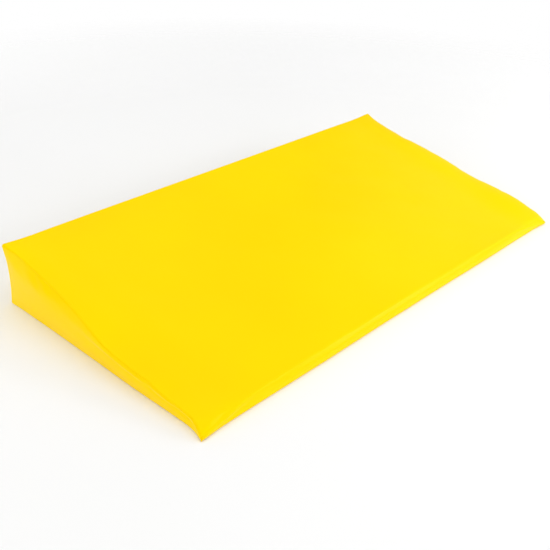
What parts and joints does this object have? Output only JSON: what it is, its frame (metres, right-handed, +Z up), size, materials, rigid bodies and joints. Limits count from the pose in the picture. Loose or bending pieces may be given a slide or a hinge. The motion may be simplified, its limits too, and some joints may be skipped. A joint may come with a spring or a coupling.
{
  "type": "incline wedge mat",
  "caption": "Foam incline wedge in a zipped vinyl cover, with a rounded thin end, a webbing carry handle and vents on the tall rear face.",
  "frame": {"origin": "middle of the flat base, on the floor", "axes": "+X along the tall edge, +Y towards the tall rear face, +Z up"},
  "size_m": [1.2, 0.6366, 0.14],
  "materials": {
    "yellow_vinyl": "semi-gloss PVC-coated fabric with a fine leather grain",
    "non_slip_vinyl": "matt, raised dots",
    "soft_foam": "open-cell foam, cut face",
    "firm_foam": "closed-cell foam sheet",
    "zip_tape": "woven tape",
    "zip_teeth": "nylon coil",
    "zip_metal": "satin die-cast metal",
    "webbing": "woven polypropylene webbing",
    "brass": "rolled brass",
    "label_cloth": "woven satin, blank"
  },
  "bodies": {
    "mat": {"foam_core": "soft_foam", "foam_top_layer": "firm_foam", "top_panel": "yellow_vinyl", "base_panel": "non_slip_vinyl", "left_side_panel": "yellow_vinyl", "right_side_panel": "yellow_vinyl", "rear_panel_lower": "yellow_vinyl", "rear_panel_upper": "yellow_vinyl", "zip_tape_upper": "zip_tape", "zip_tape_lower": "zip_tape", "zip_teeth_upper": "zip_teeth", "zip_teeth_lower": "zip_teeth", "zip_end_stop_upper": "zip_metal", "zip_end_stop_lower": "zip_metal", "zip_start_stop": "zip_metal", "zip_tab_left": "yellow_vinyl", "zip_tab_right": "yellow_vinyl", "handle_patch_left": "yellow_vinyl", "handle_patch_right": "yellow_vinyl", "handle_end_left": "webbing", "handle_end_right": "webbing", "vent_eyelet_left": "brass", "vent_eyelet_right": "brass", "vent_washer_left": "brass", "vent_washer_right": "brass", "care_label": "label_cloth"},
    "slider": {"zip_slider": "zip_metal"},
    "pull": {"zip_pull": "zip_metal"},
    "loop": {"handle_loop": "webbing"}
  },
  "joints": [
    {"name": "zip_slide", "type": "slide", "parent": "mat", "child": "slider", "axis": [-1, 0, 0], "range_m": [0, 1.036]},
    {"name": "zip_pull_flip", "type": "hinge", "parent": "slider", "child": "pull", "pos_m": [0.518, 0.3039, 0.045], "axis": [1, 0, 0], "range_deg": [-3, 165]},
    {"name": "handle_lift", "type": "hinge", "parent": "mat", "child": "loop", "pos_m": [0, 0.3024, 0.098], "axis": [1, 0, 0], "range_deg": [0, 50]}
  ]
}
